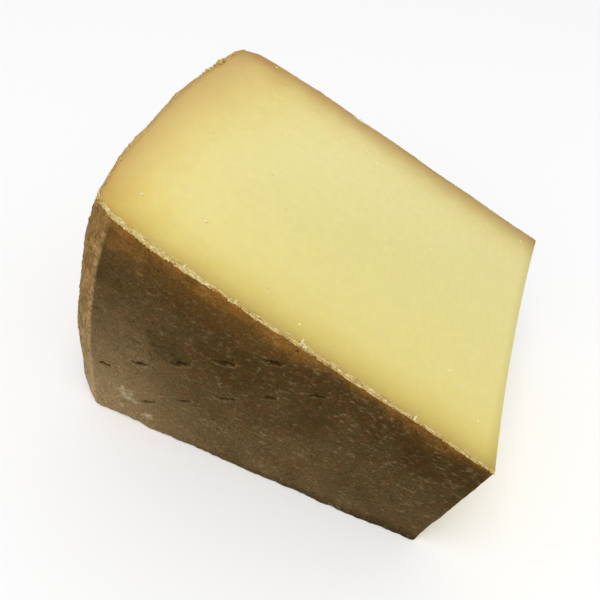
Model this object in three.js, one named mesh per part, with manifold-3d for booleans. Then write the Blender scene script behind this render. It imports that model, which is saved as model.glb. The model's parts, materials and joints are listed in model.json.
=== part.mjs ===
// A wedge of mountain cheese. It is one sector of a brown-rinded wheel, with the sector's tip cut off,
// and it lies on the lower of its two radial cuts.
// Millimetres, Z up. X runs along the lower cut from the heel to the nose, and Y runs across the
// wheel's thickness from the front flat rind to the back one. The origin is under the middle of the box.
import * as THREE from 'three';
import { mergeVertices } from 'three/addons/utils/BufferGeometryUtils.js';
import Module from 'manifold-3d';

const wasm = await Module();
wasm.setup();

// The wheel that the wedge was cut from.
const wheelThickness = 104; // between the highest parts of the two flat rinds
const ridgeRadius = 292; // from the wheel's axis to the ridge where a flat rind turns into the heel
const ridgeDrop = 1.3; // how far a flat rind sinks from its highest part to its ridge
const ridgeDropReach = 26; // how far in from the ridge it starts to sink
const bevelRise = 7.5; // how far the heel's bevels stand out from the ridges
const bevelReach = 6.2; // how wide each bevel is across the thickness
const crownRise = 4.4; // how far the middle of the heel bulges past the bevels
const swellHeight = 0.5; // height of the slow swells that the ageing shelf leaves in the rind
const swellLength = 34; // from one swell to the next

// The cuts.
const wedgeAngle = 21.4; // degrees between the lower and the upper cut
const lowerCutLength = 131.5; // from the front ridge to the nose, along the lower cut
const upperCutLength = 136; // the same along the upper cut
const noseSlant = 11; // how much sooner the nose cut ends the wedge at the back than at the front
const noseHollow = 1.8; // how far the nose cut dishes in between front and back
const edgeRadius = 1.2; // softening of every edge

// Two rows of short slits in the front flat rind, where it split as it dried.
const slitLength = 7;
const slitWidth = 1.8;
const slitDepth = 1.1;
const slitTilt = 25; // degrees, of each slit against the lower cut
const slitSpacing = 19.3; // from one slit to the next in its row
const slitRows = [[7, 30.5, 30.5], [24.5, 18.5, 33.7]]; // the first slit's place along and above the lower
// cut from its heel end, and the row's tilt against that cut in degrees
const slitMargin = 4.5; // least distance from a slit's middle to the edges of the flat rind

// How finely the surface is divided.
const coarseStep = 7.5; // on the plain stretches
const edgeStops = [0, edgeRadius / 2, edgeRadius]; // within an edge's rounding, measured from the edge
const slitSides = 14;

const cutAngle = THREE.MathUtils.degToRad(wedgeAngle);
const ridgeArc = ridgeRadius * cutAngle;
const radialLength = (lowerCutLength + upperCutLength) / 2;
const bevelStops = [bevelReach / 2, bevelReach * 0.75, bevelReach, bevelReach * 1.75, bevelReach * 3];
const dropStops = [0.15, 0.35, 0.6, 1].map((share) => share * ridgeDropReach);

// The nose plane stands at noseDistance from the wheel's axis, in the direction noseAngle above the
// lower cut, which puts its two front corners at the ends of the two cut lengths.
const lowerNoseRadius = ridgeRadius - lowerCutLength;
const upperNoseRadius = ridgeRadius - upperCutLength;
const noseAngle = Math.atan2(
  lowerNoseRadius - upperNoseRadius * Math.cos(cutAngle),
  upperNoseRadius * Math.sin(cutAngle),
);
const noseDistance = lowerNoseRadius * Math.cos(noseAngle);

// Distances along one side of the block: close together by its ends, then evenly spaced.
function stopsAlong(length, startStops, endStops) {
  const start = startStops[startStops.length - 1];
  const end = length - endStops[endStops.length - 1];
  const count = Math.max(1, Math.round((end - start) / coarseStep));
  const middle = Array.from({ length: count - 1 }, (_, i) => start + ((end - start) * (i + 1)) / count);
  const mirrored = endStops.map((stop) => length - stop).reverse();
  return [...startStops, ...middle, ...mirrored];
}

// Moves a point on a block's surface so that the block's edges are round.
function roundEdges(point, size) {
  const low = new THREE.Vector3().setScalar(edgeRadius);
  const core = point.clone().clamp(low, size.clone().sub(low));
  return point.clone().sub(core).setLength(edgeRadius).add(core);
}

// A slow, even swell in the rind, from -1 to 1.
function swell(first, second) {
  const turn = (2 * Math.PI) / swellLength;
  return Math.sin(first * turn) * Math.cos(second * turn * 0.8) * 0.6
    + Math.sin((first * 0.7 - second) * turn * 0.6) * 0.4;
}

// Half the thickness of the wheel on one of its sides (front -1, back 1), at a place fromRidge inside
// the ridge and arc above the lower cut.
function halfThickness(fromRidge, arc, side) {
  const sink = Math.max(0, 1 - fromRidge / ridgeDropReach);
  const phase = side * swellLength * 0.3;
  return wheelThickness / 2 - ridgeDrop * sink ** 2 - swellHeight * (0.5 + 0.5 * swell(fromRidge + phase, arc));
}

// Radius of the rind at the heel, across being measured from the front flat rind.
function heelRadius(across, arc) {
  const fromFlat = Math.min(across, wheelThickness - across);
  const bevel = 1 - Math.max(0, 1 - fromFlat / bevelReach) ** 2;
  const crown = 1 - ((2 * across) / wheelThickness - 1) ** 2;
  return ridgeRadius + bevelRise * bevel + crownRise * crown + swellHeight * swell(across, arc) * bevel;
}

// Radius of the nose cut.
function noseRadius(across, angle) {
  const share = across / wheelThickness;
  const dish = 4 * share * (1 - share);
  return (noseDistance + noseSlant * share + noseHollow * dish) / Math.cos(angle - noseAngle);
}

// Bends a point of the straight block (along from the heel, across from the front, arc from the lower
// cut) into its place in the wheel, whose axis is the line X = 0, Z = 0.
function bend(point) {
  const angle = (point.z / ridgeArc) * cutAngle;
  const outer = heelRadius(point.y, point.z);
  const radius = THREE.MathUtils.lerp(outer, noseRadius(point.y, angle), point.x / radialLength);
  const front = -halfThickness(point.x, point.z, -1);
  const back = halfThickness(point.x, point.z, 1);
  const y = THREE.MathUtils.lerp(front, back, point.y / wheelThickness);
  return new THREE.Vector3(-radius * Math.cos(angle), y, radius * Math.sin(angle));
}

// Leaves only a geometry's positions, with the vertices that share a place made one.
function joined(geometry) {
  geometry.deleteAttribute('normal');
  geometry.deleteAttribute('uv');
  return mergeVertices(geometry);
}

function wholeWedge() {
  const size = new THREE.Vector3(radialLength, wheelThickness, ridgeArc);
  const acrossStops = [...edgeStops, ...bevelStops];
  const stops = [
    stopsAlong(size.x, [...edgeStops, ...dropStops], edgeStops),
    stopsAlong(size.y, acrossStops, acrossStops),
    stopsAlong(size.z, edgeStops, edgeStops),
  ];
  const counts = stops.map((list) => list.length - 1);
  const geometry = joined(new THREE.BoxGeometry(1, 1, 1, ...counts));
  const positions = geometry.attributes.position;
  for (let i = 0; i < positions.count; i += 1) {
    const unit = new THREE.Vector3().fromBufferAttribute(positions, i).addScalar(0.5);
    const indexes = unit.toArray().map((share, axis) => Math.round(share * counts[axis]));
    const onBlock = new THREE.Vector3(...indexes.map((index, axis) => stops[axis][index]));
    positions.setXYZ(i, ...bend(roundEdges(onBlock, size)));
  }
  return geometry;
}

// The middles of the slits: each row goes on for as long as it stays clear of the flat rind's edges.
function slitPlaces() {
  const places = [];
  for (const [along, above, rowTilt] of slitRows) {
    const turn = THREE.MathUtils.degToRad(rowTilt);
    const step = new THREE.Vector2(Math.cos(turn), Math.sin(turn)).multiplyScalar(slitSpacing);
    const place = new THREE.Vector2(along - ridgeRadius, above);
    while (isOnFlatRind(place)) {
      places.push(place.clone());
      place.add(step);
    }
  }
  return places;
}

// Whether a place (x, z) in the wheel is on the front flat rind and clear of its edges.
function isOnFlatRind(place) {
  const radius = place.length();
  const angle = Math.atan2(place.y, -place.x);
  const toUpperCut = radius * Math.sin(cutAngle - angle);
  const gaps = [ridgeRadius - radius, radius - noseRadius(0, angle), place.y, toUpperCut];
  return Math.min(...gaps) >= slitMargin;
}

// A cutter for one slit, lens-shaped and centred on the rind's surface.
function slitCutter(place) {
  const radius = place.length();
  const arc = Math.atan2(place.y, -place.x) * ridgeRadius;
  const cutter = joined(new THREE.SphereGeometry(1, slitSides, slitSides / 2));
  cutter.scale(slitLength / 2, slitDepth, slitWidth / 2);
  cutter.rotateY(-THREE.MathUtils.degToRad(slitTilt));
  return cutter.translate(place.x, -halfThickness(ridgeRadius - radius, arc, -1), place.y);
}

function toManifold(geometry) {
  const vertProperties = new Float32Array(geometry.attributes.position.array);
  const triVerts = new Uint32Array(geometry.index.array);
  return new wasm.Manifold(new wasm.Mesh({ numProp: 3, vertProperties, triVerts }));
}

function toGeometry(manifold) {
  const mesh = manifold.getMesh();
  const geometry = new THREE.BufferGeometry();
  geometry.setAttribute('position', new THREE.BufferAttribute(mesh.vertProperties, 3));
  geometry.setIndex(new THREE.BufferAttribute(mesh.triVerts, 1));
  return geometry;
}

function wedgeGeometry() {
  let solid = toManifold(wholeWedge());
  for (const place of slitPlaces()) {
    solid = solid.subtract(toManifold(slitCutter(place)));
  }
  const geometry = toGeometry(solid);
  geometry.computeBoundingBox();
  const middle = geometry.boundingBox.getCenter(new THREE.Vector3());
  geometry.translate(-middle.x, -middle.y, -geometry.boundingBox.min.z);
  geometry.computeVertexNormals();
  return geometry;
}

const paste = new THREE.MeshStandardMaterial({ color: '#e0cf82', roughness: 0.55, metalness: 0 });

const wedge = new THREE.Mesh(wedgeGeometry(), paste);
wedge.name = 'cheese_wedge';

const part = new THREE.Group();
part.add(wedge);

export default part;
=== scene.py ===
import json
import math
import random
from functools import partial
from itertools import chain
from types import SimpleNamespace

import bmesh
import bpy
import numpy as np
from mathutils import Matrix, Vector, noise

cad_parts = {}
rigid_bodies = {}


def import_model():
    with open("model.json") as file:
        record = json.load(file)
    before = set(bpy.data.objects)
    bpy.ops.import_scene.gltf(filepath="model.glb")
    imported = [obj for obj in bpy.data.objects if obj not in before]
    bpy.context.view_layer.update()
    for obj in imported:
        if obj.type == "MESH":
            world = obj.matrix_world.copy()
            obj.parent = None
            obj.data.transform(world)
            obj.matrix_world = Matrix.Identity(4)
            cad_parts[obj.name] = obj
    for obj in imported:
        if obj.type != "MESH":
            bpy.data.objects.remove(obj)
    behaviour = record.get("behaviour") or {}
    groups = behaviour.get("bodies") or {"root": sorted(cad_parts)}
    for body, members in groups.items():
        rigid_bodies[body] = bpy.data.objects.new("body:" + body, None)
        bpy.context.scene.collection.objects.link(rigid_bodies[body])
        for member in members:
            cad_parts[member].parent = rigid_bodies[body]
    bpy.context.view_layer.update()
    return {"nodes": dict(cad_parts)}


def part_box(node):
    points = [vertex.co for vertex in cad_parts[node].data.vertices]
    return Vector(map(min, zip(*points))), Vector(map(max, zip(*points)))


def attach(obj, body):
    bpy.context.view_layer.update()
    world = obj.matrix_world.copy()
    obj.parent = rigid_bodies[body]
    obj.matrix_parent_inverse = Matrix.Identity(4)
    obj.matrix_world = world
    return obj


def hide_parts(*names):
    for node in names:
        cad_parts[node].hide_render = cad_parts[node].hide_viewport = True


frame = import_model()
print("frame loaded:", ", ".join(frame["nodes"]))

mm = 0.001  # the tables are in millimetres, the scene is in metres


def linear(code):  # sRGB hex to linear colour
    channels = [int(code[i:i + 2], 16) / 255 for i in (1, 3, 5)]
    return [c / 12.92 if c <= 0.04045 else ((c + 0.055) / 1.055) ** 2.4 for c in channels] + [1.0]


# Adds one shader node. An input is a value, a hex colour, a node (its first output) or an output socket,
# and "From" and "To" each give the two ends of a range.
def addNode(tree, kind, inputs=None, stops=(), **settings):
    node = tree.nodes.new("ShaderNode" + kind)
    for name, value in settings.items():
        setattr(node, name, value)
    given = dict(inputs or {})
    for side in [key for key in ("From", "To") if key in given]:
        given[side + " Min"], given[side + " Max"] = given.pop(side)
    for key, value in given.items():
        named = [s for s in node.inputs if s.enabled and s.name == key]
        socket = node.inputs[key] if isinstance(key, int) else named[0]
        if isinstance(value, bpy.types.Node):
            value = next(s for s in value.outputs if s.enabled)
        if isinstance(value, bpy.types.NodeSocket):
            tree.links.new(value, socket)
        else:
            socket.default_value = linear(value) if isinstance(value, str) else value
    if stops:  # of a colour ramp, as (place, colour)
        ramp = node.color_ramp.elements
        ramp.remove(ramp[1])
        ramp[0].position, ramp[0].color = stops[0][0], linear(stops[0][1])
        for place, code in stops[1:]:
            ramp.new(place).color = linear(code)
    return node


def newMaterial(name):
    material = bpy.data.materials.new(name)
    material.use_nodes = True
    material.node_tree.nodes.clear()
    return material, partial(addNode, material.node_tree)


def newPiece(name, points, faces, materials, faceMaterials=None):  # points in millimetres
    mesh = bpy.data.meshes.new(name)
    mesh.from_pydata([tuple(p) for p in np.asarray(points) * mm], [], [tuple(f) for f in faces])
    for material in materials:
        mesh.materials.append(material)
    if faceMaterials is not None:
        mesh.polygons.foreach_set("material_index", faceMaterials)
    mesh.polygons.foreach_set("use_smooth", [True] * len(mesh.polygons))
    mesh.update()
    piece = bpy.data.objects.new(name, mesh)
    bpy.context.collection.objects.link(piece)
    return piece


# Fractal noise, about -1 to 1, with lumps of a given size in millimetres.
def roughness(points, size, octaves=3, seed=0.0, stretch=(1, 1, 1)):
    scaled = np.asarray(points) / (np.array(stretch) * size) + seed * 17.3
    return np.array([noise.fractal(Vector(p), 1.0, 2.0, octaves) for p in scaled])


def fade(value, start, end):  # 0 at start, 1 at end, smooth between
    share = np.clip((value - start) / (end - start), 0.0, 1.0)
    return share * share * (3 - 2 * share)


wheel = {
    "thickness": 104.0,
    "ridgeRadius": 292.0,  # from the wheel's axis to the ridge between flat rind and heel
    "ridgeDrop": 1.3,  # how far a flat rind sinks to its ridge
    "ridgeDropReach": 26.0,
    "bevelRise": 7.5,
    "bevelReach": 6.2,
    "crownRise": 4.4,
    "swellHeight": 0.5,
    "swellLength": 34.0,
    # the back of the wheel sagged a little as it aged: how far, and between which places
    "heelSlump": (1.76, 68.0, 97.0),  # the heel, across from the front
    "backSlump": (0.605, 60.0, 130.0),  # the back rind, inwards from its ridge
    "ridgeSlump": (0.44, 14.0),  # the back ridge, fading out this far inside it
}
cuts = {
    "angle": 21.4,  # degrees between the two radial cuts
    "lowerLength": 131.5,
    "upperLength": 136.0,
    "noseSlant": 11.0,
    "noseHollow": 1.8,
    "edgeRadius": 1.2,
}
cutAngle = math.radians(cuts["angle"])
ridgeArc = wheel["ridgeRadius"] * cutAngle
radialLength = (cuts["lowerLength"] + cuts["upperLength"]) / 2
blockSize = np.array([radialLength, wheel["thickness"], ridgeArc])
lowerNose = wheel["ridgeRadius"] - cuts["lowerLength"]
upperNose = wheel["ridgeRadius"] - cuts["upperLength"]
noseAngle = math.atan2(lowerNose - upperNose * math.cos(cutAngle), upperNose * math.sin(cutAngle))
noseDistance = lowerNose * math.cos(noseAngle)


def swell(first, second):
    turn = 2 * math.pi / wheel["swellLength"]
    return (np.sin(first * turn) * np.cos(second * turn * 0.8) * 0.6
            + np.sin((first * 0.7 - second) * turn * 0.6) * 0.4)


def halfThickness(fromRidge, arc, side):
    sink = np.clip(1 - fromRidge / wheel["ridgeDropReach"], 0, None)
    wave = 0.5 + 0.5 * swell(fromRidge + side * wheel["swellLength"] * 0.3, arc)
    half = wheel["thickness"] / 2 - wheel["ridgeDrop"] * sink ** 2 - wheel["swellHeight"] * wave
    if side < 0:
        return half
    backDrop, start, end = wheel["backSlump"]
    ridgeDrop, reach = wheel["ridgeSlump"]
    nearRidge = np.clip(1 - fromRidge / reach, 0, None) ** 2
    return half - ridgeDrop * nearRidge - backDrop * fade(fromRidge, start, end)


def heelRadius(across, arc):
    fromFlat = np.minimum(across, wheel["thickness"] - across)
    bevel = 1 - np.clip(1 - fromFlat / wheel["bevelReach"], 0, 1) ** 2
    crown = 1 - (2 * across / wheel["thickness"] - 1) ** 2
    drop, start, end = wheel["heelSlump"]
    bulge = wheel["bevelRise"] * bevel + wheel["crownRise"] * crown - drop * fade(across, start, end)
    return wheel["ridgeRadius"] + bulge + wheel["swellHeight"] * swell(across, arc) * bevel


def noseRadius(across, angle):
    share = across / wheel["thickness"]
    cut = noseDistance + cuts["noseSlant"] * share + cuts["noseHollow"] * 4 * share * (1 - share)
    return cut / np.cos(angle - noseAngle)


# Bends points of a straight block (along from the heel, across from the front, arc from the lower cut)
# into the wheel, whose axis is x = 0, z = 0.
def bend(block):
    along, across, arc = block.T
    angle = arc / wheel["ridgeRadius"]
    outer = heelRadius(across, arc)
    radius = outer + (noseRadius(across, angle) - outer) * along / radialLength
    front, back = -halfThickness(along, arc, -1), halfThickness(along, arc, 1)
    y = front + (back - front) * across / wheel["thickness"]
    return np.column_stack([-radius * np.cos(angle), y, radius * np.sin(angle)])


def roundEdges(block):
    radius = cuts["edgeRadius"]
    core = np.clip(block, radius, blockSize - radius)
    away = block - core
    return core + away * (radius / np.linalg.norm(away, axis=1, keepdims=True))


# The frame says where the wheel's axis stands: the heel's furthest point is the box's low x side.
boxLow, boxHigh = (np.array(corner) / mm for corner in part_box("cheese_wedge"))
heelStops = np.linspace(0, wheel["thickness"], 205)
heelReach = heelRadius(heelStops, 0 * heelStops).max()
wheelAxis = np.array([boxLow[0] + heelReach, (boxLow[1] + boxHigh[1]) / 2, boxLow[2]])
print("wheel axis at", wheelAxis.round(2))


slits = {
    # each row's first slit (along and above the lower cut's heel end), the row's tilt, and how long, wide
    # and ragged its slits are
    "rows": [(7.0, 30.5, 30.5, 8.0, 2.25, 0.7), (24.5, 18.5, 33.7, 7.6, 1.3, 0.35)],
    "spacing": 19.3,
    "depth": 1.0,
    "lip": 0.14,  # how far the torn skin curls up below a slit
    "tilt": 23.0,
    "tiltSpread": (-7, 5),  # by how much each slit differs from the next
    "lengthSpread": (0.85, 1.15),
    "widthSpread": (0.8, 1.1),
    "margin": 4.5,  # least distance from a slit's middle to the rind's edges
    "seed": 4,
}


def onFlatRind(x, z):
    radius, angle = math.hypot(x, z), math.atan2(z, -x)
    toUpperCut = radius * math.sin(cutAngle - angle)
    toNose = radius - float(noseRadius(0.0, angle))
    return min(wheel["ridgeRadius"] - radius, toNose, z, toUpperCut) >= slits["margin"]


def slitList():  # (x, z, tilt, length, width, raggedness) of each slit
    draw = random.Random(slits["seed"])
    found = []
    for along, above, rowTilt, length, width, ragged in slits["rows"]:
        x, z = along - wheel["ridgeRadius"], above
        tilt = math.radians(rowTilt)
        while onFlatRind(x, z):
            turned = math.radians(slits["tilt"] + draw.uniform(*slits["tiltSpread"]))
            longer, wider = draw.uniform(*slits["lengthSpread"]), draw.uniform(*slits["widthSpread"])
            found.append((x, z, turned, length * longer, width * wider, ragged))
            x += slits["spacing"] * math.cos(tilt)
            z += slits["spacing"] * math.sin(tilt)
    return found


allSlits = slitList()


# The body is one closed skin of paste and rind, and the rind has relief of its own.
body = {
    "cell": 1.45,  # mesh cell on the cut faces, halved on the rind and again round the slits
    "lumpSize": 9.0,
    "lumpHeight": 0.3,
    "grainSize": 1.9,  # grit of brushed, dried smear
    "grainHeight": 0.2,
    "pitSpacing": 5.0,
    "pitRadius": 0.75,
    "pitDepth": 0.35,
    "edgeWobble": 0.5,  # how far the rind's edges wander where the knife went through
    "edgeWobbleSize": 7.0,
    "edgeWobbleReach": 5.0,
    "wornHeel": 1.9,  # worn off the heel where the wedge stands on it
    "wornHeelReach": 12.0,
    "footSpread": 1.2,  # how far the front rind's lower edge is pressed out
    "footReach": 6.0,
    # the share of that spread gained from one place to the next, from the heel
    "footShares": [(0.42, 30, 60), (0.58, 82, 108), (-0.6, 116, 130)],
    "knifeWave": 0.07,  # ripples that the blade leaves in the paste
    "knifeWaveSize": 16.0,
    "turnReach": 3.0,  # within which one side's relief gives way to the next side's
}
front, back, heel, nose, lower, upper = range(6)


def stopsAlong(length):
    radius = cuts["edgeRadius"]
    edge = [0, radius * 0.35, radius * 0.7, radius]
    count = round((length - 2 * radius) / body["cell"])
    middle = np.linspace(radius, length - radius, count + 1)[1:-1]
    return np.array([*edge, *middle, *(length - np.array(edge))[::-1]])


def blockSkin():  # the block's surface as a grid, each face tagged with its side
    stops = [stopsAlong(length) for length in blockSize]
    last = [len(s) - 1 for s in stops]
    seen, points, faces, sides = {}, [], [], []

    def corner(i, j, k):
        if (i, j, k) not in seen:
            seen[i, j, k] = len(points)
            points.append((stops[0][i], stops[1][j], stops[2][k]))
        return seen[i, j, k]

    for side, axis, at in ((heel, 0, 0), (nose, 0, last[0]), (front, 1, 0), (back, 1, last[1]),
                           (lower, 2, 0), (upper, 2, last[2])):
        first, second = (axis + 1) % 3, (axis + 2) % 3
        for a in range(last[first]):
            for b in range(last[second]):
                ring = []
                for da, db in ((0, 0), (1, 0), (1, 1), (0, 1)):
                    index = [0, 0, 0]
                    index[axis], index[first], index[second] = at, a + da, b + db
                    ring.append(corner(*index))
                faces.append(ring if at else ring[::-1])
                sides.append(side)
    return points, faces, sides


def refine(mesh, wanted):  # splits the faces for which wanted(face) holds
    edges = {edge for face in mesh.faces if wanted(face) for edge in face.edges}
    bmesh.ops.subdivide_edges(mesh, edges=list(edges), cuts=1, use_grid_fill=True)


def nearSlit(face):
    if face.material_index != front:
        return False
    middle = face.calc_center_median()
    angle = middle.z / wheel["ridgeRadius"]
    radius = wheel["ridgeRadius"] - middle.x
    x, z = -radius * math.cos(angle), radius * math.sin(angle)
    return any(math.hypot(x - slitX, z - slitZ) < length * 0.75 for slitX, slitZ, _, length, _, _ in allSlits)


# How deep in a slit each place of the front rind is, 0 to 1, and how much it is on a slit's curled lip.
def slitHollow(places):
    deep, lip = np.zeros(len(places)), np.zeros(len(places))
    wild = roughness(places, 1.3, 4, seed=3)
    for x, z, tilt, length, width, ragged in allSlits:
        dx, dz = places[:, 0] - x, places[:, 2] - z
        along = dx * math.cos(tilt) + dz * math.sin(tilt)
        across = -dx * math.sin(tilt) + dz * math.cos(tilt) + 0.12 * along * np.sin(along)
        reach = np.hypot(along / (length / 2), across / (width / 2)) + ragged * wild
        deep = np.maximum(deep, 1 - fade(reach, 0.3, 1.15))
        ring = fade(reach, 0.85, 1.25) * (1 - fade(reach, 1.3, 1.8))
        lip = np.maximum(lip, ring * fade(-across + 1.2 * wild, 0, width * 0.5))
    return deep, lip


def pitHollow(places, seed):  # small round pits, one in some of the cells
    deep = []
    for place in places / body["pitSpacing"] + seed:
        distances, centres = noise.voronoi(Vector(place))
        chosen = noise.cell(centres[0] * 7.7) > 0.35
        deep.append(distances[0] * body["pitSpacing"] / body["pitRadius"] if chosen else 9.0)
    return 1 - fade(np.array(deep), 0.3, 1.0)


def rindRelief(places, seed):
    lumps = roughness(places, body["lumpSize"], 3, seed) * body["lumpHeight"]
    grain = roughness(places, body["grainSize"], 3, seed + 5) * body["grainHeight"]
    outward = np.hypot(places[:, 0], places[:, 2]) - wheel["ridgeRadius"]
    return lumps + grain * (1 + 0.5 * fade(outward, 0, 2))  # the heel is coarser


# How far each place of the rind stands out from the smooth wheel, and how hollow it is, for painted shade in
# its pits and slits (below zero on a slit's curled lip, for a painted highlight).
def rindShape(block, smooth):
    along, across, arc = block.T
    reach = body["turnReach"]
    relief, hollowShade = np.zeros(len(block)), np.zeros(len(block))
    rind = np.flatnonzero(np.minimum.reduce([along, across, wheel["thickness"] - across]) < reach)
    relief[rind] = rindRelief(smooth[rind], 1)
    pits = pitHollow(smooth[rind], 0.5) * fade(along[rind], 0, reach)
    hollowShade[rind] = pits * 0.6
    relief[rind] -= pits * body["pitDepth"]
    toCut = np.minimum(arc, ridgeArc - arc)
    wobble = roughness(smooth[rind], body["edgeWobbleSize"], 3, seed=9) * body["edgeWobble"]
    relief[rind] += wobble * (1 - fade(toCut[rind], 0, body["edgeWobbleReach"]))
    worn = (1 - fade(arc, 0, body["wornHeelReach"])) * fade(across, 0, 4) * (1 - fade(along, 0, reach))
    relief[rind] -= body["wornHeel"] * worn[rind]
    foot = (1 - fade(arc, 0, body["footReach"])) * (1 - fade(across, 0, reach))
    foot *= sum(share * fade(along, start, end) for share, start, end in body["footShares"])
    relief[rind] += body["footSpread"] * foot[rind]
    frontRind = np.flatnonzero(across < reach)
    deep, lip = slitHollow(smooth[frontRind])
    onFront = 1 - fade(across[frontRind], 0, reach)
    relief[frontRind] += (lip * slits["lip"] - deep * slits["depth"]) * onFront
    hollowShade[frontRind] = np.maximum(hollowShade[frontRind], deep) - lip * 0.3
    return relief, hollowShade


# Moves the rind out by its relief, and gives the upper cut and the nose their knife ripples.
def placeSkin(block, smooth, relief):
    along, across, arc = block.T
    reach = body["turnReach"]
    radial = smooth * [1, 0, 1] / np.hypot(smooth[:, 0], smooth[:, 2])[:, None]
    turned = np.column_stack([radial[:, 2], np.zeros(len(radial)), -radial[:, 0]])
    onFront = 1 - fade(across, 0, reach)
    onBack = 1 - fade(wheel["thickness"] - across, 0, reach)
    onHeel = 1 - fade(along, 0, reach)
    shift = onFront[:, None] * [0, -1, 0] + onBack[:, None] * [0, 1, 0] + onHeel[:, None] * radial
    placed = smooth + shift * relief[:, None]

    toUpper, toNose = ridgeArc - arc, radialLength - along
    cut = np.flatnonzero((toUpper < reach) | (toNose < reach))
    ripple = np.zeros(len(block))
    ripple[cut] = roughness(smooth[cut], body["knifeWaveSize"], 2, 2, (1, 3, 1)) * body["knifeWave"]
    placed += turned * (ripple * (1 - fade(toUpper, 0, reach)))[:, None]
    placed -= radial * (ripple * (1 - fade(toNose, 0, reach)))[:, None]
    placed[:, 2] = np.maximum(placed[:, 2], 0)
    return placed


def makeBody(rind, paste):
    points, faces, sides = blockSkin()
    mesh = bmesh.new()
    corners = [mesh.verts.new(p) for p in points]
    for face, side in zip(faces, sides):
        mesh.faces.new([corners[i] for i in face]).material_index = side
    refine(mesh, lambda face: face.material_index in (front, back, heel))
    refine(mesh, nearSlit)
    mesh.verts.index_update()
    block = roundEdges(np.array([v.co for v in mesh.verts]))
    faces = [[v.index for v in face.verts] for face in mesh.faces]
    sides = np.array([face.material_index for face in mesh.faces])
    mesh.free()

    smooth = bend(block)
    relief, hollowShade = rindShape(block, smooth)
    placed = placeSkin(block, smooth, relief)
    slotOf = np.array([0, 0, 0, 1, 1, 1])  # each side's material: rind on the first three, paste on the cuts
    piece = newPiece("cheeseBody", placed + wheelAxis, faces, [rind, paste], slotOf[sides])
    store = piece.data.attributes.new("hollowShade", "FLOAT", "POINT")
    store.data.foreach_set("value", hollowShade)
    return piece


# The blade dragged paste over the rind's edge and left it in shreds, and dry crumbs stick to them.
burr = {
    "step": 0.22,
    "ring": 16,
    "stops": (0, 9, 14, 30, 36, 59, 63, 92, 99, 134),  # along the front edge, from the heel
    # the shreds, one over the other: turn round the edge in degrees (0 on the cut, 90 on the rind), half
    # width and half height in millimetres, how much of the edge is bare, and its share of that width and
    # height at each stop
    "shreds": [
        (-6, 0.6, 0.26, -0.2, (1.4, 1.2, 0.25, 0.2, 0.05, 0.05, 0.5, 0.55, 0.3, 0.15)),
        (30, 0.65, 0.34, -0.9, (1.1, 1.0, 0.65, 0.6, 0.33, 0.33, 0.55, 0.55, 0.48, 0.42)),
        (52, 0.6, 0.34, -0.6, (0.5, 0.7, 0.9, 0.85, 0.6, 0.55, 0.5, 0.5, 0.3, 0.25)),
        (72, 0.45, 0.24, 0.1, (0.1, 0.3, 0.95, 0.9, 0.6, 0.5, 0.45, 0.5, 0.1, 0.05)),
    ],
    "heelShare": 0.16,  # and along the heel's edge and the back one
    "backShare": 0.14,
    "coverSize": 5.0,  # length of the thick and the thin stretches
    "wander": 0.28,  # how far a shred strays round the edge, in radians
    "wanderSize": 4.0,
    "fibreSize": 0.55,  # of the fine roughness, and of the crumbly one that makes the outline
    "crumbleSize": 0.65,
    "tooth": 0.8,  # teeth that the shreds hang over the rind
    "toothSize": 1.3,
    "crumbs": 900,
    "frontCrumbs": 0.72,  # the share of them along the front edge
    "crumbSize": (0.14, 0.34),
    # of the crumbs, where the shreds' tops are 1
    "paleness": (0.3, 1.2),
    "standingPaleness": 1.8,
    "loosePaleness": 1.7,
    # heaps of torn rind on the heel's edge: across from the front, spread, count, size
    "heaps": [(86.0, 2.4, 9, 0.62), (81.5, 3.0, 8, 0.58), (77.0, 2.0, 4, 0.42), (60.0, 3.0, 4, 0.34),
              (3.5, 2.0, 6, 0.4), (100.5, 1.5, 4, 0.4), (30.0, 30.0, 26, 0.24), (88.0, 12.0, 12, 0.26)],
    "seed": 11,
}
# Crumbs that stand on the front edge: how far from the heel, height and lean in millimetres.
standingCrumbs = [(65.7, 2.3, 0.5), (66.8, 1.1, -0.4), (26.3, 1.0, 0.3), (104.9, 1.2, 0.4), (43.5, 0.7, 0.2)]
# Loose crumbs on the upper cut: radius from the wheel's axis, across from the middle, size.
looseCrumbs = [(290, -37, 0.48), (270, -32, 0.5), (263, -43, 0.42), (243, -40, 0.36), (286, 2, 0.34),
               (262, 1, 0.34), (278, 33, 0.34), (252, -9, 0.3), (205, -30, 0.34), (176, -31, 0.36),
               (229, 12, 0.28)]


def rindOutline():  # the rind's edge on the upper cut, from nose to nose round the heel, in block places
    radius = cuts["edgeRadius"]
    turn = np.linspace(0, math.pi / 2, 9)
    corner = np.column_stack([radius - radius * np.sin(turn), radius - radius * np.cos(turn)])
    farCorner = corner[::-1] * [1, -1] + [0, wheel["thickness"]]
    end = radialLength - 0.4  # it stops just short of the nose
    rough = np.vstack([[[end, 0]], corner, farCorner, [[end, wheel["thickness"]]]])
    run = np.concatenate([[0], np.cumsum(np.linalg.norm(np.diff(rough, axis=0), axis=1))])
    steps = np.arange(0, run[-1], burr["step"])
    places = np.column_stack([np.interp(steps, run, rough[:, i]) for i in (0, 1)])
    tangent = np.gradient(places, axis=0)
    tangent /= np.linalg.norm(tangent, axis=1, keepdims=True)
    return steps, places, np.column_stack([-tangent[:, 1], tangent[:, 0]])


edgeSteps, edgePlaces, edgeOutward = rindOutline()


def burrShare(places, shred):  # how much of its full width and height a shred has at each place
    along, across = places.T
    toHeel = fade(across, 1.0, 8.0)
    toBack = fade(across, wheel["thickness"] - 6, wheel["thickness"])
    share = np.interp(along, burr["stops"], shred[-1]) * (1 - toHeel) + burr["heelShare"] * toHeel
    return share * (1 - toBack) + burr["backShare"] * toBack


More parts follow.
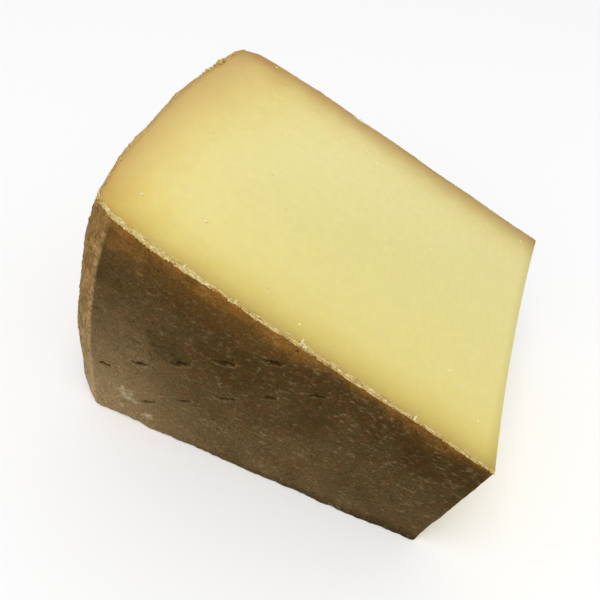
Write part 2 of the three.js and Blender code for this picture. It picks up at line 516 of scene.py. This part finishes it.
# Places on the rounded edge: turned round it from the cut (0) to the rind, and lifted off it.
def onEdge(places, outward, turn, lift):
    radius = cuts["edgeRadius"]
    flat = places - outward * (radius - (radius + lift) * np.sin(turn))[:, None]
    return np.column_stack([flat, ridgeArc - radius + (radius + lift) * np.cos(turn)])


def edgePoint(i, turn, lift):  # the wheel's point at the edge's place i
    return bend(onEdge(edgePlaces[i:i + 1], edgeOutward[i:i + 1], np.array([turn]), np.array([lift])))[0]


# One shred as rings of points round a line along the edge, and how far each point stands out.
def shredRings(shred, number):
    turned, halfWidth, halfHeight, bare, _ = shred
    seed, ring = burr["seed"] + number * 3, burr["ring"]
    line = np.column_stack([edgeSteps, 0 * edgeSteps, 0 * edgeSteps])
    scale = burrShare(edgePlaces, shred)
    thick = roughness(line, burr["coverSize"], 3, seed) - bare * 0.5 - 0.12
    cover = fade(thick, -0.35, 0.25) * 0.55 + 0.45
    wander = roughness(line, burr["wanderSize"], 3, seed + 1) * burr["wander"]
    run = np.repeat(edgeSteps, ring)
    around = np.tile(np.linspace(0, 2 * math.pi, ring, endpoint=False), len(edgeSteps))
    size = np.repeat(scale * cover, ring)
    # fibres are 3.5 times longer than wide
    fibrePlaces = np.column_stack([run / 3.5, np.cos(around), np.sin(around)])
    fibre = roughness(fibrePlaces, burr["fibreSize"], 3, seed + 2)
    crumblePlaces = np.column_stack([run, np.cos(around), np.sin(around)])
    crumble = roughness(crumblePlaces, burr["crumbleSize"], 3, seed + 4)
    teeth = np.clip(roughness(line, burr["toothSize"], 2, seed + 6), 0, 1) * burr["tooth"]
    wide = halfWidth * size * (1 + 0.6 * crumble) * np.cos(around)
    wide += np.repeat(teeth, ring) * size * np.clip(np.cos(around), 0, 1) ** 2
    high = halfHeight * size * (1 + 0.2 * fibre + crumble) * np.sin(around)

    radius = cuts["edgeRadius"]
    turn = np.repeat(math.radians(turned) + wander, ring) + wide / radius
    lift = high + 0.1 * size
    over = np.clip(turn - math.pi / 2, 0, None) * radius  # past the rind side it hangs straight down
    before = np.clip(-turn, 0, None) * radius  # and past the cut side it lies flat on the paste
    outward = np.repeat(edgeOutward, ring, axis=0)
    block = onEdge(np.repeat(edgePlaces, ring, axis=0), outward, np.clip(turn, 0, math.pi / 2), lift)
    block[:, 2] -= over
    block[:, :2] -= outward * before[:, None]
    return block, lift / np.maximum(halfHeight * np.repeat(scale, ring), 0.05)


def crumbShape(centre, radius, stretch, draw, detail=1):  # a small rough lump
    ball = bmesh.new()
    bmesh.ops.create_icosphere(ball, subdivisions=detail + 1, radius=1.0)
    points = np.array([v.co for v in ball.verts])
    faces = [[v.index for v in face.verts] for face in ball.faces]
    ball.free()
    seed = draw.uniform(0, 50)
    points = points * (1 + 0.55 * roughness(points, 0.9, 2, seed))[:, None] * stretch * radius
    angle = draw.uniform(0, 6.3)
    turn = Matrix.Rotation(angle, 3, Vector([draw.gauss(0, 1) for _ in range(3)]))
    return points @ np.array(turn).T + centre, faces


# Each of these gives shapes one by one: the points, the faces, and how far each point stands out of the burr,
# which sets its colour: painted shade low down where a shred meets the edge, paler up to its top; each crumb
# has a paleness of its own.
def shreds():
    ring = burr["ring"]
    for number, shred in enumerate(burr["shreds"]):
        block, lift = shredRings(shred, number)
        sides = [(i + j, i + (j + 1) % ring, i + ring + (j + 1) % ring, i + ring + j)
                 for i in range(0, len(block) - ring, ring) for j in range(ring)]
        ends = [tuple(range(ring))[::-1], tuple(range(len(block) - ring, len(block)))]
        yield bend(block), sides + ends, lift


def edgeCrumbs(draw):
    for _ in range(burr["crumbs"]):
        onFront = draw.random() < burr["frontCrumbs"]
        run = draw.uniform(0, radialLength) if onFront else draw.uniform(radialLength, edgeSteps[-1])
        i = min(int(run / burr["step"]), len(edgeSteps) - 1)
        shares = [float(burrShare(edgePlaces[i:i + 1], shred)[0]) for shred in burr["shreds"]]
        onCut, middle, _, onRind = shares
        size = draw.uniform(*burr["crumbSize"]) * (0.3 + 0.7 * middle)
        turn = math.radians(draw.triangular(30 - 50 * min(onCut, 1), 60 + 35 * min(onRind, 1), 45))
        shape, faces = crumbShape(edgePoint(i, turn, size * 0.9), size, (1.6, 1.0, 0.8), draw)
        yield shape, faces, draw.uniform(*burr["paleness"])


def heaps(draw):
    for across, spread, count, size in burr["heaps"]:
        for _ in range(count):
            at = across + draw.gauss(0, spread / 2)
            i = int(np.argmin(np.abs(edgePlaces[:, 1] - at) + edgePlaces[:, 0] * 9))  # on the heel's edge
            lump = size * draw.uniform(0.5, 1.1)
            centre = edgePoint(i, math.radians(draw.uniform(10, 100)), lump * 0.5)
            shape, faces = crumbShape(centre, lump, (1.2, 1.0, 0.8), draw, detail=2)
            yield shape, faces, draw.uniform(*burr["paleness"])


def crumbStacks(draw):  # each standing crumb is four small ones, leaning
    for fromHeel, height, lean in standingCrumbs:
        i = int(np.argmin(np.abs(edgePlaces[:, 0] - fromHeel) + edgePlaces[:, 1] * 9))  # on the front edge
        foot = edgePoint(i, 0.5, 0.0)
        for share in np.linspace(0, 1, 4):
            centre = foot + np.array([lean * share ** 2, 0.25 * share, height * share])
            shape, faces = crumbShape(centre, 0.42 * (1.15 - share * 0.6), (1.0, 0.7, 1.5), draw)
            yield shape, faces, burr["standingPaleness"]


def cutCrumbs(draw):
    for radius, across, size in looseCrumbs:
        place = np.array([-radius * math.cos(cutAngle), across, radius * math.sin(cutAngle)])
        shape, faces = crumbShape(place, size, (1.3, 1.0, 0.7), draw)
        yield shape, faces, burr["loosePaleness"]


def makeBurr(material):
    points, faces, standing = [], [], []
    draw = random.Random(burr["seed"])
    shapes = chain(shreds(), edgeCrumbs(draw), heaps(draw), crumbStacks(draw), cutCrumbs(draw))
    for shape, shapeFaces, lift in shapes:
        first = sum(map(len, points))
        faces.extend([[i + first for i in face] for face in shapeFaces])
        points.append(shape)
        standing.append(np.broadcast_to(lift, len(shape)))
    piece = newPiece("cutBurr", np.vstack(points) + wheelAxis, faces, [material])
    store = piece.data.attributes.new("standing", "FLOAT", "POINT")
    store.data.foreach_set("value", np.concatenate(standing))
    return piece


# Cut cheese paste: a fat, dense gel that light enters and leaves a few millimetres away, so it glows
# softly and has no hard shading. It dried darker against the rind: khaki by the front flat rind, tan by
# the back one, and pinkish tan by the heel.
pasteLook = {
    "flatReach": 24.0,  # how deep the drying reaches from the flat rinds
    "heelReach": (70.0, 133.0),  # and from the heel, in the front half and in the back half
    "byFront": [(0.0, "#B89E52"), (0.04, "#C4AB5B"), (0.12, "#D0B764"), (0.2, "#D8C26D"), (0.27, "#DDC972"),
                (0.4, "#E4D17E"), (0.6, "#E9D988"), (1.0, "#EBDD92")],
    "byBack": [(0.0, "#AC864F"), (0.06, "#BD9B5C"), (0.13, "#C6A766"), (0.2, "#CCB170"), (0.28, "#D5BF7B"),
               (0.38, "#DFCC88"), (0.5, "#E6D692"), (0.65, "#E9DB97"), (1.0, "#EADE9A")],
    "byHeel": [(0.0, "#D0AA8A"), (0.03, "#E3CAB0"), (0.065, "#EBD8C1"), (0.12, "#F5E8D0"), (0.18, "#FBF3DE"),
               (0.3, "#FFFDF4"), (0.42, "#FFFFFC"), (1.0, "#F9F9F1")],
    # a painted greyish reflection on the paste along the nose, where the upper cut rounds over onto it
    "nose": "#E9E6DC",
    "noseReflectionReach": 5.0,
    "scatter": 0.35,
    "scatterReach": (1.0, 0.7, 0.28),
    "roughness": 0.5,
    "grainSize": 2.6,  # curd grains, drawn a little coarser than the real 1.5 mm so that they show
    "speck": "#F4EBB8",  # dots of crystals
    "speckSpacing": 9.0,
}


def millimetres(node):  # the point's place in the wheel, in millimetres
    place = node("TexCoord").outputs["Object"]
    scaled = node("VectorMath", {0: place, 1: (1000, 1000, 1000)}, operation="MULTIPLY")
    return node("VectorMath", {0: scaled, 1: tuple(wheelAxis)}, operation="SUBTRACT")


def wheelRadius(node, place):
    flat = node("VectorMath", {0: place, 1: (1, 0, 1)}, operation="MULTIPLY")
    return node("VectorMath", {0: flat}, operation="LENGTH").outputs["Value"]


def pasteByFlats(node, across, depth):  # dried against the front rind, and otherwise against the back one
    toMiddle = node("Math", {0: across}, operation="ABSOLUTE")
    toFlat = node("Math", {0: wheel["thickness"] / 2 - 0.4, 1: toMiddle}, operation="SUBTRACT")
    share = node("Math", {0: toFlat, 1: pasteLook["flatReach"]}, operation="DIVIDE")
    dryingAndReflection = node("Math", {0: share, 1: depth}, operation="MULTIPLY")
    byFront = node("ValToRGB", {"Fac": dryingAndReflection}, stops=pasteLook["byFront"])
    byBack = node("ValToRGB", {"Fac": dryingAndReflection}, stops=pasteLook["byBack"])
    toBack = node("MapRange", {"Value": across, "From": (-30.0, 20.0)})
    return node("Mix", {"Factor": toBack, "A": byFront, "B": byBack}, data_type="RGBA")


def addHeelDrying(node, place, across, depth, colour):
    # the heel's own outline: its crown falls away towards both flats
    share = node("Math", {0: across, 1: 2 / wheel["thickness"]}, operation="MULTIPLY")
    squared = node("Math", {0: share, 1: share}, operation="MULTIPLY")
    fallen = node("Math", {0: squared, 1: wheel["crownRise"]}, operation="MULTIPLY")
    crownTop = wheel["ridgeRadius"] + wheel["bevelRise"] + wheel["crownRise"]
    crown = node("Math", {0: crownTop, 1: fallen}, operation="SUBTRACT")
    toHeel = node("Math", {0: crown, 1: wheelRadius(node, place)}, operation="SUBTRACT")
    reach = node("MapRange", {"Value": across, "From": (-5.0, 32.0), "To": pasteLook["heelReach"]})
    heelShare = node("Math", {0: toHeel, 1: reach}, operation="DIVIDE")
    dryingAndReflection = node("Math", {0: heelShare, 1: depth}, operation="MULTIPLY")
    byHeel = node("ValToRGB", {"Fac": dryingAndReflection}, stops=pasteLook["byHeel"])
    return node("Mix", {"Factor": 1.0, "A": colour, "B": byHeel}, data_type="RGBA", blend_type="MULTIPLY")


# Painted reflection: the paste is tinted greyer on the nose and within a few millimetres of it, where the
# upper cut rounds over onto the nose.
def addNoseReflection(node, place, across, colour):
    towardsNose = (-math.cos(noseAngle), 0, math.sin(noseAngle))
    fromAxis = node("VectorMath", {0: place, 1: towardsNose}, operation="DOT_PRODUCT").outputs["Value"]
    half = wheel["thickness"] / 2
    cut = node("MapRange", {"Value": across, "From": (-half, half),
                            "To": (noseDistance, noseDistance + cuts["noseSlant"])})
    fromNose = node("Math", {0: fromAxis, 1: cut}, operation="SUBTRACT")
    dryingAndReflection = node("MapRange", {"Value": fromNose, "From": (0.5, pasteLook["noseReflectionReach"]), "To": (1.0, 0.0)})
    return node("Mix", {"Factor": dryingAndReflection, "A": colour, "B": pasteLook["nose"]}, data_type="RGBA",
                blend_type="MULTIPLY")


def makePaste():
    material, node = newMaterial("cutPaste")
    place = millimetres(node)
    across = node("SeparateXYZ", {"Vector": place}).outputs["Y"]
    waver = node("TexNoise", {"Vector": place, "Scale": 0.12, "Detail": 5.0})
    depth = node("MapRange", {"Value": waver, "From": (0.3, 0.7), "To": (0.88, 1.12)})
    colour = addHeelDrying(node, place, across, depth, pasteByFlats(node, across, depth))
    colour = addNoseReflection(node, place, across, colour)

    grain = node("TexNoise", {"Vector": place, "Scale": 1 / pasteLook["grainSize"], "Detail": 2.0})
    grainShade = node("MapRange", {"Value": grain, "From": (0.3, 0.7), "To": (0.935, 0.967)})
    grained = node("VectorMath", {0: colour, "Scale": grainShade}, operation="SCALE")
    specks = node("TexVoronoi", {"Vector": place, "Scale": 1 / pasteLook["speckSpacing"]})
    speck = node("MapRange", {"Value": specks.outputs["Distance"], "From": (0.03, 0.055), "To": (0.7, 0.0)})
    specked = node("Mix", {"Factor": speck, "A": grained, "B": pasteLook["speck"]}, data_type="RGBA")
    bump = node("Bump", {"Height": grain, "Strength": 0.12, "Distance": 0.15 * mm})
    shader = node("BsdfPrincipled", {
        "Base Color": specked, "Roughness": pasteLook["roughness"], "IOR": 1.45, "Normal": bump,
        "Subsurface Weight": pasteLook["scatter"], "Subsurface Radius": pasteLook["scatterReach"],
        "Subsurface Scale": 4 * mm,
    }, subsurface_method="RANDOM_WALK")
    node("OutputMaterial", {"Surface": shader})
    return material


# Washed and brushed rind: dried bacterial smear over hard skin. It is dry and matt, so it hardly mirrors
# anything. It is mottled from olive to red brown with pale and dark flecks, dusty towards the heel and
# the lower cut, and greasy orange where the knife pulled fat down over the edge.
rindLook = {
    "dark": "#4E3817",
    "dusty": "#A0875F",
    "olive": "#565027",
    "red": "#75502F",
    "paleFleck": "#A08B62",
    "darkFleck": "#2B1F0C",
    "mottleSize": 14.0,
    "patchSize": 4.2,
    "fleckSize": 1.15,
    "pitSize": 2.3,
    "clothSize": 0.7,  # weave of the pressing cloth, about 0.5 mm, drawn coarser to show
    "warmBand": "#99692A",
    "warmGlow": "#7A5524",  # its wide, faint end
    "warmBandReach": (9.0, 2.6, 5.5),  # near the heel, past the middle, and at a spot near the nose
    "warmSpot": 115.0,  # where that spot is, inwards from the ridge
    "warmSpotReach": 17.0,
    "heel": "#82613A",
    "heelStreak": "#AE8B55",
    "heelFleck": "#C9B182",
    "heelPit": "#5F4728",
    "heelTop": "#A67B3A",
    "heelDust": "#B09B7C",
    "ridge": "#B3976A",
    # painted shade in the slits and pits, and a painted highlight on the slits' curled lips
    "slit": "#3A2811",
    "lip": "#A08D66",
    "roughness": 0.85,
    "mirror": 0.06,
    "brushTilt": -27.0,  # degrees, by which the brush's strokes lean from the lower cut
    "brushSqueeze": 0.62,  # of the flecks' noise along the strokes, which makes them longer
    "rimStretch": 6.0,  # how much longer the heel's streaks are than wide
    # mould, worn and dark spots on the front flat rind: how far from the ridge, height, radius, colour
    "moulds": [(15.5, 18.0, 5.2, "#AFA27F"), (23.5, 8.3, 2.9, "#BBA57C"), (12.4, 9.0, 1.7, "#BBA586"),
               (13.8, 12.8, 1.7, "#544423"), (86.0, 24.0, 2.4, "#7F6C48"), (34.0, 55.0, 9.0, "#47391C"),
               (88.0, 50.0, 9.0, "#45351A")],
}


# Where a point of the rind is, and the noises that several of its marks share.
def rindPlace(node):
    place = millimetres(node)
    parts = node("SeparateXYZ", {"Vector": place})
    height = parts.outputs["Z"]
    radius = wheelRadius(node, place)
    fromRidge = node("Math", {0: wheel["ridgeRadius"], 1: radius}, operation="SUBTRACT")
    mottle = node("TexNoise", {"Vector": place, "Scale": 1 / rindLook["mottleSize"], "Detail": 6.0,
                               "Roughness": 0.64})
    patches = node("TexNoise", {"Vector": place, "Scale": 1 / rindLook["patchSize"], "Detail": 4.0,
                                "Roughness": 0.7})
    cloth = node("TexNoise", {"Vector": place, "Scale": 1 / rindLook["clothSize"], "Detail": 3.0,
                              "Roughness": 0.65})
    brushed = node("Mapping", {"Vector": place, "Rotation": (0, math.radians(rindLook["brushTilt"]), 0),
                               "Scale": (rindLook["brushSqueeze"], 1, 1)})
    flecks = node("TexNoise", {"Vector": brushed, "W": 4.0, "Scale": 1 / rindLook["fleckSize"],
                               "Detail": 2.0}, noise_dimensions="4D")
    angle = node("Math", {0: height, 1: parts.outputs["X"]}, operation="ARCTAN2")
    rimScale = wheel["ridgeRadius"] / rindLook["rimStretch"]
    alongRim = node("Math", {0: angle, 1: rimScale}, operation="MULTIPLY")
    rim = node("CombineXYZ", {"X": alongRim, "Y": parts.outputs["Y"], "Z": radius})
    streaks = node("TexNoise", {"Vector": rim, "Scale": 0.8, "Detail": 5.0, "Roughness": 0.7})
    return SimpleNamespace(place=place, height=height, fromRidge=fromRidge, mottle=mottle, patches=patches,
                           cloth=cloth, flecks=flecks, rim=rim, streaks=streaks)


def flatRindColour(node, at):  # dark, dusty by the heel and the lower cut, with olive and red patches
    byHeel = node("MapRange", {"Value": at.fromRidge, "From": (-2.0, 57.0), "To": (0.8, 0.0)},
                  interpolation_type="SMOOTHSTEP")
    lowDown = node("MapRange", {"Value": at.height, "From": (4.0, 78.0), "To": (1.0, 0.12)})
    byLowerCut = node("MapRange", {"Value": at.height, "From": (0.0, 62.0), "To": (0.3, 0.0)})
    gradient = node("Math", {0: byHeel, 1: lowDown, 2: byLowerCut}, operation="MULTIPLY_ADD")
    wander = node("MapRange", {"Value": at.mottle, "From": (0.25, 0.75), "To": (-0.13, 0.1)})
    dusty = node("Math", {0: gradient, 1: wander}, operation="ADD", use_clamp=True)
    colour = node("Mix", {"Factor": dusty, "A": rindLook["dark"], "B": rindLook["dusty"]}, data_type="RGBA")
    olive = node("MapRange", {"Value": at.patches, "From": (0.49, 0.64), "To": (0.0, 0.32)})
    colour = node("Mix", {"Factor": olive, "A": colour, "B": rindLook["olive"]}, data_type="RGBA")
    red = node("MapRange", {"Value": at.patches, "From": (0.48, 0.35), "To": (0.0, 0.3)})
    return node("Mix", {"Factor": red, "A": colour, "B": rindLook["red"]}, data_type="RGBA")


def addWarmBand(node, at, colour):  # under the upper cut
    toUpperCut = (-math.sin(cutAngle), 0, -math.cos(cutAngle))
    below = node("VectorMath", {0: at.place, 1: toUpperCut}, operation="DOT_PRODUCT").outputs["Value"]
    nearHeel, pastMiddle, nearNose = rindLook["warmBandReach"]
    reach = node("MapRange", {"Value": at.fromRidge, "From": (55.0, 80.0), "To": (nearHeel, pastMiddle)},
                 interpolation_type="SMOOTHSTEP")
    pastSpot = node("Math", {0: at.fromRidge, 1: rindLook["warmSpot"]}, operation="SUBTRACT")
    fromSpot = node("Math", {0: pastSpot}, operation="ABSOLUTE")
    more = node("MapRange", {"Value": fromSpot, "From": (0.0, rindLook["warmSpotReach"]),
                             "To": (nearNose - pastMiddle, 0.0)}, interpolation_type="SMOOTHSTEP")
    bandReach = node("Math", {0: reach, 1: more}, operation="ADD")
    share = node("Math", {0: below, 1: bandReach}, operation="DIVIDE")
    glow = node("MapRange", {"Value": share, "From": (0.3, 2.1), "To": (0.6, 0.0)})
    colour = node("Mix", {"Factor": glow, "A": colour, "B": rindLook["warmGlow"]}, data_type="RGBA")
    ragged = node("MapRange", {"Value": at.mottle, "From": (0.36, 0.64), "To": (0.25, 1.8)})
    raggedShare = node("Math", {0: share, 1: ragged}, operation="DIVIDE")
    spots = node("MapRange", {"Value": at.patches, "From": (0.36, 0.6), "To": (0.35, 1.0)})
    band = node("MapRange", {"Value": raggedShare, "From": (0.0, 1.3), "To": (spots, 0.0)})
    return node("Mix", {"Factor": band, "A": colour, "B": rindLook["warmBand"]}, data_type="RGBA")


def addGrain(node, at, colour):  # the cloth's weave, pale flecks and dark pits
    weave = node("MapRange", {"Value": at.cloth, "From": (0.25, 0.75), "To": (0.46, 1.4)})
    byNose = node("MapRange", {"Value": at.fromRidge, "From": (88.0, 118.0), "To": (1.0, 0.82)},
                  interpolation_type="SMOOTHSTEP")
    # painted contact shade: the front rind darkens in its lowest 5.5 mm, where it meets the floor, by up to
    # half from 70 mm off the ridge on; byNose makes it darker towards the nose
    foot = node("MapRange", {"Value": at.height, "From": (0.0, 5.5), "To": (1.0, 0.0)},
                interpolation_type="SMOOTHSTEP")
    farFromHeel = node("MapRange", {"Value": at.fromRidge, "From": (30.0, 70.0), "To": (0.0, 0.5)})
    floorShade = node("Math", {0: foot, 1: farFromHeel}, operation="MULTIPLY")
    evenShade = node("Math", {0: byNose, 1: floorShade}, operation="SUBTRACT")
    shade = node("Math", {0: weave, 1: evenShade}, operation="MULTIPLY")
    colour = node("VectorMath", {0: colour, "Scale": shade}, operation="SCALE")
    crowd = node("MapRange", {"Value": at.mottle, "From": (0.35, 0.65), "To": (0.2, 0.56)})
    fewer = node("MapRange", {"Value": at.fromRidge, "From": (12.0, 50.0), "To": (0.55, 0.95)})
    fleckMost = node("Math", {0: crowd, 1: fewer}, operation="MULTIPLY")
    fleck = node("MapRange", {"Value": at.flecks, "From": (0.56, 0.72), "To": (0.0, fleckMost)})
    colour = node("Mix", {"Factor": fleck, "A": colour, "B": rindLook["paleFleck"]}, data_type="RGBA")
    pits = node("TexNoise", {"Vector": at.place, "W": 9.0, "Scale": 1 / rindLook["pitSize"], "Detail": 3.0},
                noise_dimensions="4D")
    pit = node("MapRange", {"Value": pits, "From": (0.36, 0.26), "To": (0.0, 0.7)})
    return node("Mix", {"Factor": pit, "A": colour, "B": rindLook["darkFleck"]}, data_type="RGBA")


def addMoulds(node, at, colour):
    ragged = node("MapRange", {"Value": at.patches, "From": (0.3, 0.7), "To": (2.0, 0.4)})
    speckled = node("MapRange", {"Value": at.flecks, "From": (0.4, 0.56), "To": (0.15, 1.3)})
    for fromRidge, height, size, code in rindLook["moulds"]:
        middle = (fromRidge - wheel["ridgeRadius"], -wheel["thickness"] / 2, height)
        gap = node("VectorMath", {0: at.place, 1: middle}, operation="DISTANCE").outputs["Value"]
        away = node("Math", {0: gap, 1: ragged}, operation="MULTIPLY")
        mould = node("MapRange", {"Value": away, "From": (size * 0.6, size * 1.1), "To": (0.75, 0.0)})
        grainy = node("Math", {0: mould, 1: speckled}, operation="MULTIPLY", use_clamp=True)
        colour = node("Mix", {"Factor": grainy, "A": colour, "B": code}, data_type="RGBA")
    return colour


def heelColour(node, at):  # pale, streaked along the rim, greasy at the top and dusty at the foot
    streak = node("MapRange", {"Value": at.streaks, "From": (0.36, 0.62)})
    colour = node("Mix", {"Factor": streak, "A": rindLook["heel"], "B": rindLook["heelStreak"]},
                  data_type="RGBA")
    greasy = node("MapRange", {"Value": at.height, "From": (60.0, 105.0), "To": (0.0, 0.55)})
    dust = node("MapRange", {"Value": at.height, "From": (5.0, 60.0), "To": (0.6, 0.0)})
    pits = node("MapRange", {"Value": at.patches, "From": (0.47, 0.36), "To": (0.0, 0.45)})
    flecks = node("MapRange", {"Value": at.flecks, "From": (0.54, 0.7), "To": (0.0, 0.4)})
    for amount, name in ((greasy, "heelTop"), (dust, "heelDust"), (pits, "heelPit"), (flecks, "heelFleck")):
        colour = node("Mix", {"Factor": amount, "A": colour, "B": rindLook[name]}, data_type="RGBA")
    blotch = node("MapRange", {"Value": at.mottle, "From": (0.34, 0.66), "To": (0.8, 1.3)})
    fibres = node("TexNoise", {"Vector": at.rim, "Scale": 1.6, "Detail": 4.0, "Roughness": 0.7})
    fibreShade = node("MapRange", {"Value": fibres, "From": (0.25, 0.75), "To": (0.4, 1.5)})
    shade = node("Math", {0: fibreShade, 1: blotch}, operation="MULTIPLY")
    return node("VectorMath", {0: colour, "Scale": shade}, operation="SCALE")


def addRubbedRidge(node, at, colour):
    offRidge = node("Math", {0: node("Math", {0: at.fromRidge, 1: 1.0}, operation="ADD")},
                    operation="ABSOLUTE")
    rubbedMost = node("MapRange", {"Value": at.height, "From": (70.0, 100.0), "To": (0.8, 0.3)})
    rubbed = node("MapRange", {"Value": offRidge, "From": (0.3, 1.3), "To": (rubbedMost, 0.0)})
    spots = node("MapRange", {"Value": at.flecks, "From": (0.4, 0.56), "To": (0.0, rubbed)})
    return node("Mix", {"Factor": spots, "A": colour, "B": rindLook["ridge"]}, data_type="RGBA")


def makeRind():
    material, node = newMaterial("washedRind")
    at = rindPlace(node)
    colour = addWarmBand(node, at, flatRindColour(node, at))
    colour = addMoulds(node, at, addGrain(node, at, colour))
    onHeel = node("MapRange", {"Value": at.fromRidge, "From": (0.7, -1.5), "To": (0.0, 0.82)},
                  interpolation_type="SMOOTHSTEP")
    colour = node("Mix", {"Factor": onHeel, "A": colour, "B": heelColour(node, at)}, data_type="RGBA")
    colour = addRubbedRidge(node, at, colour)

    # painted shade: the pits and slits are darkened as far as they are hollow, and the slits' curled lips are
    # lightened as a painted highlight
    hollowShade = node("Attribute", attribute_name="hollowShade").outputs["Fac"]
    lipHighlight = node("Math", {0: hollowShade, 1: -1.0}, operation="MULTIPLY", use_clamp=True)
    colour = node("Mix", {"Factor": lipHighlight, "A": colour, "B": rindLook["lip"]}, data_type="RGBA")
    colour = node("Mix", {"Factor": hollowShade, "A": colour, "B": rindLook["slit"]}, data_type="RGBA")
    relief = node("Math", {0: at.flecks, 1: at.cloth}, operation="ADD")
    heelRelief = node("Math", {0: at.streaks, 1: onHeel, 2: relief}, operation="MULTIPLY_ADD")
    bump = node("Bump", {"Height": heelRelief, "Strength": 0.8, "Distance": 0.35 * mm})
    shader = node("BsdfPrincipled", {"Base Color": colour, "Roughness": rindLook["roughness"], "IOR": 1.45,
                                     "Specular IOR Level": rindLook["mirror"], "Normal": bump})
    node("OutputMaterial", {"Surface": shader})
    return material


# Torn paste: the same cheese, dried pale and crumbly, so its faces scatter light and look chalky.
burrLook = [(0.0, "#7C5829"), (0.25, "#A88344"), (0.45, "#C9A962"), (0.65, "#D8BB74"), (0.85, "#E7D18E"),
            (1.0, "#F8EBBA")]


def makeTornPaste():
    material, node = newMaterial("tornPaste")
    # painted crease shade: points low on a shred, where it meets the edge, take the ramp's dark end, and its
    # tops take the pale end
    standing = node("Attribute", attribute_name="standing").outputs["Fac"]
    fine = node("TexNoise", {"Vector": millimetres(node), "Scale": 0.95, "Detail": 4.0, "Roughness": 0.7})
    crumbly = node("MapRange", {"Value": fine, "From": (0.3, 0.7), "To": (-0.5, 0.5)})
    mixed = node("Math", {0: standing, 1: crumbly}, operation="ADD")
    tone = node("MapRange", {"Value": mixed, "From": (-0.4, 1.9)})
    colour = node("ValToRGB", {"Fac": tone}, stops=burrLook)
    bump = node("Bump", {"Height": fine, "Strength": 0.7, "Distance": 0.3 * mm})
    shader = node("BsdfPrincipled", {
        "Base Color": colour, "Roughness": 0.7, "IOR": 1.45, "Normal": bump, "Specular IOR Level": 0.25,
        "Subsurface Weight": 0.2, "Subsurface Radius": (1.0, 0.7, 0.3), "Subsurface Scale": 1.5 * mm,
    })
    node("OutputMaterial", {"Surface": shader})
    return material


studio = {
    "floor": "#FBFAF8",
    "floorHalf": 8.0,  # metres, like the light's sizes and places
    "world": "#F4F6FA",
    "worldStrength": 0.66,
    "keySize": 1.3,
    "keyPower": 25.5,
    "keyPlace": (0.2, -0.65, 2.1),
}
cameraView = {
    "aim": (-1.1, -11.6, -0.3),  # from the box's middle
    "distance": 283.3,
    "azimuth": 19.45,  # degrees turned from looking along +Y towards -X
    "elevation": 47.84,
    "roll": 5.15,
    "lens": 48.0,
}


def makeFloor():  # matt card: even and pale, with a barely visible tooth
    material, node = newMaterial("floorPaper")
    tooth = node("TexNoise", {"Scale": 900.0, "Detail": 2.0})
    bump = node("Bump", {"Height": tooth, "Strength": 0.05, "Distance": 0.1 * mm})
    shader = node("BsdfPrincipled", {"Base Color": studio["floor"], "Roughness": 0.9, "Normal": bump})
    node("OutputMaterial", {"Surface": shader})
    half = studio["floorHalf"]
    corners = [(-half, -half, 0), (half, -half, 0), (half, half, 0), (-half, half, 0)]
    mesh = bpy.data.meshes.new("floor")
    mesh.from_pydata(corners, [], [(0, 1, 2, 3)])
    mesh.materials.append(material)
    floor = bpy.data.objects.new("floor", mesh)
    bpy.context.collection.objects.link(floor)


def makeLighting(middle):
    world = bpy.data.worlds.new("studio")
    world.use_nodes = True
    background = world.node_tree.nodes["Background"]
    background.inputs["Color"].default_value = linear(studio["world"])
    background.inputs["Strength"].default_value = studio["worldStrength"]
    bpy.context.scene.world = world
    light = bpy.data.lights.new("keyLight", "AREA")
    light.size, light.energy = studio["keySize"], studio["keyPower"]
    lamp = bpy.data.objects.new("keyLight", light)
    lamp.location = studio["keyPlace"]
    lamp.rotation_euler = (middle - lamp.location).to_track_quat("-Z", "Y").to_euler()
    bpy.context.collection.objects.link(lamp)
    bpy.context.scene.view_settings.view_transform = "Standard"


def makeCamera(middle):
    aim = middle + Vector(cameraView["aim"]) * mm
    azimuth, elevation, roll = (math.radians(cameraView[k]) for k in ("azimuth", "elevation", "roll"))
    level = math.cos(elevation)
    ahead = Vector((-math.sin(azimuth) * level, math.cos(azimuth) * level, -math.sin(elevation)))
    side = ahead.cross(Vector((0, 0, 1))).normalized()
    rise = side.cross(ahead)
    right = side * math.cos(roll) + rise * math.sin(roll)
    up = rise * math.cos(roll) - side * math.sin(roll)
    camera = bpy.data.objects.new("camera", bpy.data.cameras.new("camera"))
    camera.data.lens, camera.data.sensor_width = cameraView["lens"], 36.0
    camera.data.clip_start = 0.01
    place = aim - ahead * cameraView["distance"] * mm
    camera.matrix_world = Matrix((right, up, -ahead)).transposed().to_4x4()
    camera.matrix_world.translation = place
    bpy.context.collection.objects.link(camera)
    bpy.context.scene.camera = camera


low, high = (Vector(corner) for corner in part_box("cheese_wedge"))
middle = (low + high) / 2
makeCamera(middle)
makeFloor()
makeLighting(middle)
print("studio ready")

wedge = makeBody(makeRind(), makePaste())
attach(wedge, "root")
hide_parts("cheese_wedge")
print("body:", len(wedge.data.polygons), "faces")

edge = makeBurr(makeTornPaste())
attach(edge, "root")
print("burr:", len(edge.data.polygons), "faces")
